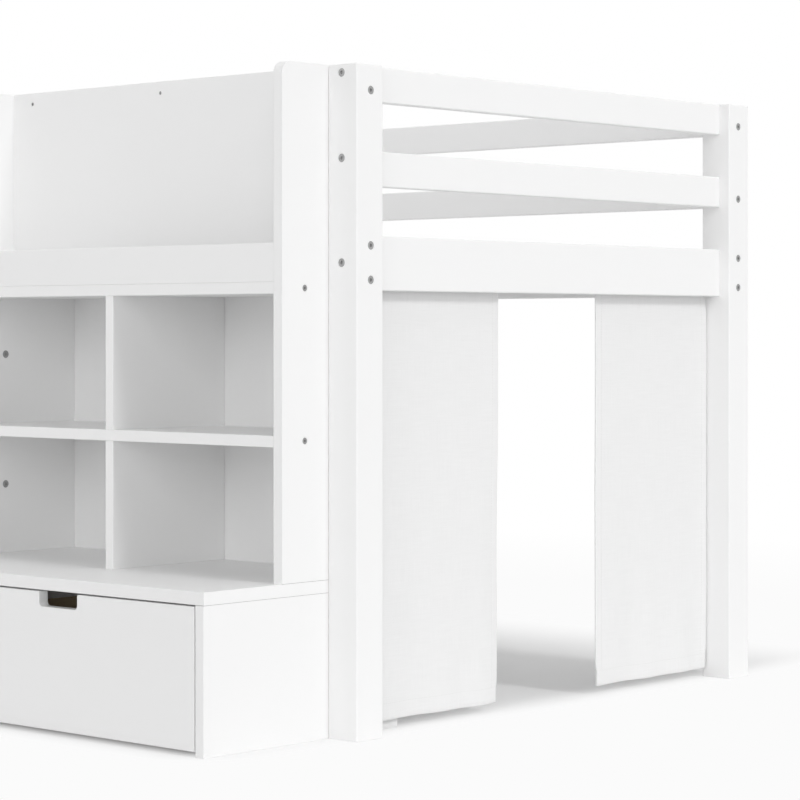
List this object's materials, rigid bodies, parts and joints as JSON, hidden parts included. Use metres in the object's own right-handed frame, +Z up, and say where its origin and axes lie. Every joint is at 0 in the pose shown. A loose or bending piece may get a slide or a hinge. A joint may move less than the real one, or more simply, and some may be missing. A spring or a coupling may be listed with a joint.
{
  "type": "loft bed with desk",
  "caption": "Low twin loft bed in white wood with storage drawers, open cubbies, an entry step, a small desk and curtains across one end of the space below.",
  "frame": {"origin": "on the floor, under the middle of the whole piece", "axes": "+X along the bed towards the curtained end, +Y from the drawer fronts to the back, +Z up"},
  "size_m": [2, 1.316, 1.04],
  "materials": {
    "painted_timber": "white satin paint on solid pine",
    "painted_board": "white satin paint on fibreboard",
    "drawer_ply": "bare plywood",
    "runner_steel": "white epoxy on pressed steel",
    "roller_nylon": "moulded nylon",
    "bolt_steel": "zinc plate",
    "rod_steel": "white enamel",
    "curtain_cloth": "plain white linen weave"
  },
  "bodies": {
    "frame": {"back_guard_rail_middle": "painted_timber", "back_guard_rail_top": "painted_timber", "back_side_rail": "painted_timber", "barrel_nuts": "bolt_steel", "base_back": "painted_board", "base_partition": "painted_board", "base_side_left": "painted_board", "base_side_right": "painted_board", "base_top": "painted_board", "bed_slats": "painted_timber", "cabinet_runners": "runner_steel", "cubby_back": "painted_board", "cubby_divider": "painted_board", "cubby_lip": "painted_board", "cubby_shelf": "painted_board", "cubby_side_left": "painted_board", "cubby_side_right": "painted_board", "cubby_top": "painted_board", "curtain_rod": "rod_steel", "desk_modesty_panel": "painted_board", "desk_sides": "painted_board", "desk_top": "painted_board", "entry_upright_left": "painted_timber", "entry_upright_right": "painted_timber", "front_guard_rail_right": "painted_timber", "front_guard_rails_left": "painted_timber", "front_side_rail": "painted_timber", "guard_panel": "painted_board", "left_end_rail_lower": "painted_timber", "left_end_rail_middle": "painted_timber", "left_end_rail_top": "painted_timber", "post_back_left": "painted_timber", "post_back_right": "painted_timber", "post_front_left": "painted_timber", "post_front_right": "painted_timber", "right_end_rail_lower": "painted_timber", "right_end_rail_middle": "painted_timber", "right_end_rail_top": "painted_timber", "rod_brackets": "rod_steel", "slat_ledgers": "painted_timber", "socket_bolts": "bolt_steel", "step_sides": "painted_board", "step_tread": "painted_board", "unit_screws": "bolt_steel"},
    "drawer_right": {"drawer_right_front": "painted_board", "drawer_right_sides": "drawer_ply", "drawer_right_back": "drawer_ply", "drawer_right_bottom": "drawer_ply", "drawer_right_runners": "runner_steel"},
    "drawer_left": {"drawer_left_front": "painted_board", "drawer_left_sides": "drawer_ply", "drawer_left_back": "drawer_ply", "drawer_left_bottom": "drawer_ply", "drawer_left_runners": "runner_steel"},
    "cabinet_rollers_right": {"drawer_right_cabinet_rollers": "roller_nylon"},
    "cabinet_rollers_left": {"drawer_left_cabinet_rollers": "roller_nylon"},
    "drawer_rollers_right": {"drawer_right_rollers": "roller_nylon"},
    "drawer_rollers_left": {"drawer_left_rollers": "roller_nylon"},
    "curtain_front": {"curtain_front": "curtain_cloth"},
    "curtain_back": {"curtain_back": "curtain_cloth"}
  },
  "joints": [
    {"name": "drawer_right_slide", "type": "slide", "parent": "frame", "child": "drawer_right", "axis": [0, -1, 0], "range_m": [0, 0.31]},
    {"name": "cabinet_rollers_right_turn", "type": "hinge", "parent": "frame", "child": "cabinet_rollers_right", "pos_m": [0.614, -0.625, 0.0547], "axis": [1, 0, 0], "range_deg": [0, 1790]},
    {"name": "drawer_rollers_right_turn", "type": "hinge", "parent": "drawer_right", "child": "drawer_rollers_right", "pos_m": [0.614, -0.283, 0.0515], "axis": [1, 0, 0], "range_deg": [0, 1790]},
    {"name": "drawer_left_slide", "type": "slide", "parent": "frame", "child": "drawer_left", "axis": [0, -1, 0], "range_m": [0, 0.31]},
    {"name": "cabinet_rollers_left_turn", "type": "hinge", "parent": "frame", "child": "cabinet_rollers_left", "pos_m": [-0.02, -0.625, 0.0547], "axis": [1, 0, 0], "range_deg": [0, 1790]},
    {"name": "drawer_rollers_left_turn", "type": "hinge", "parent": "drawer_left", "child": "drawer_rollers_left", "pos_m": [-0.02, -0.283, 0.0515], "axis": [1, 0, 0], "range_deg": [0, 1790]},
    {"name": "curtain_front_slide", "type": "slide", "parent": "frame", "child": "curtain_front", "axis": [0, 1, 0], "range_m": [0, 0.13]},
    {"name": "curtain_back_slide", "type": "slide", "parent": "frame", "child": "curtain_back", "axis": [0, -1, 0], "range_m": [0, 0.13]}
  ],
  "couplings": [
    {"joint": "cabinet_rollers_right_turn", "follows": "drawer_right_slide", "rad_per_m": 100},
    {"joint": "drawer_rollers_right_turn", "follows": "drawer_right_slide", "rad_per_m": 100},
    {"joint": "cabinet_rollers_left_turn", "follows": "drawer_left_slide", "rad_per_m": 100},
    {"joint": "drawer_rollers_left_turn", "follows": "drawer_left_slide", "rad_per_m": 100}
  ]
}
